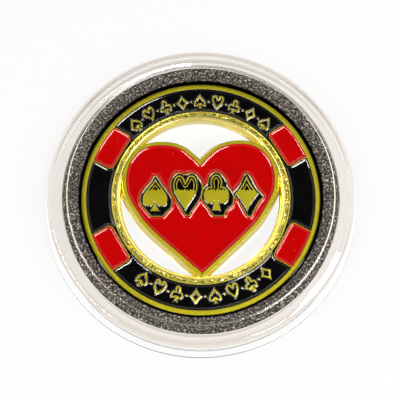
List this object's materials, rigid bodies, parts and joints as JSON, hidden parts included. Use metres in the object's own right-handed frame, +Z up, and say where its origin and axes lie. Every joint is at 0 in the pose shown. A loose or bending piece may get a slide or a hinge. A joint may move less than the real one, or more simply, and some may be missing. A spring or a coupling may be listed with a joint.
{
  "type": "dealer button",
  "caption": "Round clear capsule that opens, holding a foam-gripped pierced gold medallion with a red enamel heart, black field, red edge spots and card-suit emblems; used as a dealer marker.",
  "frame": {"origin": "centre of the capsule base's flat underside", "axes": "+Z up through the lid along the capsule's axis, +Y to the top of the medallion's design, +X to its right"},
  "size_m": [0.053, 0.053, 0.0088],
  "materials": {
    "clear_plastic": "clear moulded acrylic, polished, faint warm tint in thick sections",
    "foam": "matt closed-cell foam with fine speckled cells",
    "gold_plate": "bright gold plating over die-struck metal, stippled inner band",
    "red_enamel": "glossy soft enamel with a meniscus at the metal lines",
    "black_enamel": "glossy soft enamel with a meniscus at the metal lines"
  },
  "bodies": {
    "base": {"capsule_base": "clear_plastic"},
    "lid": {"capsule_lid": "clear_plastic"},
    "insert": {"foam_ring": "foam"},
    "medallion": {"coin_body": "gold_plate", "front_black_ring_enamel": "black_enamel", "front_red_spot_1_enamel": "red_enamel", "front_red_spot_2_enamel": "red_enamel", "front_red_spot_3_enamel": "red_enamel", "front_red_spot_4_enamel": "red_enamel", "front_heart_enamel": "red_enamel", "front_spade_shadow_enamel": "black_enamel", "front_heart_shadow_enamel": "black_enamel", "front_club_shadow_enamel": "black_enamel", "front_diamond_shadow_enamel": "black_enamel", "back_black_ring_enamel": "black_enamel", "back_red_spot_1_enamel": "red_enamel", "back_red_spot_2_enamel": "red_enamel", "back_red_spot_3_enamel": "red_enamel", "back_red_spot_4_enamel": "red_enamel", "back_heart_enamel": "red_enamel", "back_spade_shadow_enamel": "black_enamel", "back_heart_shadow_enamel": "black_enamel", "back_club_shadow_enamel": "black_enamel", "back_diamond_shadow_enamel": "black_enamel"}
  },
  "joints": [
    {"name": "lid_lift", "type": "slide", "parent": "base", "child": "lid", "axis": [0, 0, 1], "range_m": [0, 0.024]},
    {"name": "insert_lift", "type": "slide", "parent": "base", "child": "insert", "axis": [0, 0, 1], "range_m": [0, 0.009]},
    {"name": "medallion_lift", "type": "slide", "parent": "insert", "child": "medallion", "axis": [0, 0, 1], "range_m": [0, 0.006]}
  ],
  "couplings": [
    {"joint": "insert_lift", "follows": "lid_lift", "ratio": 0.375},
    {"joint": "medallion_lift", "follows": "lid_lift", "ratio": 0.25}
  ]
}
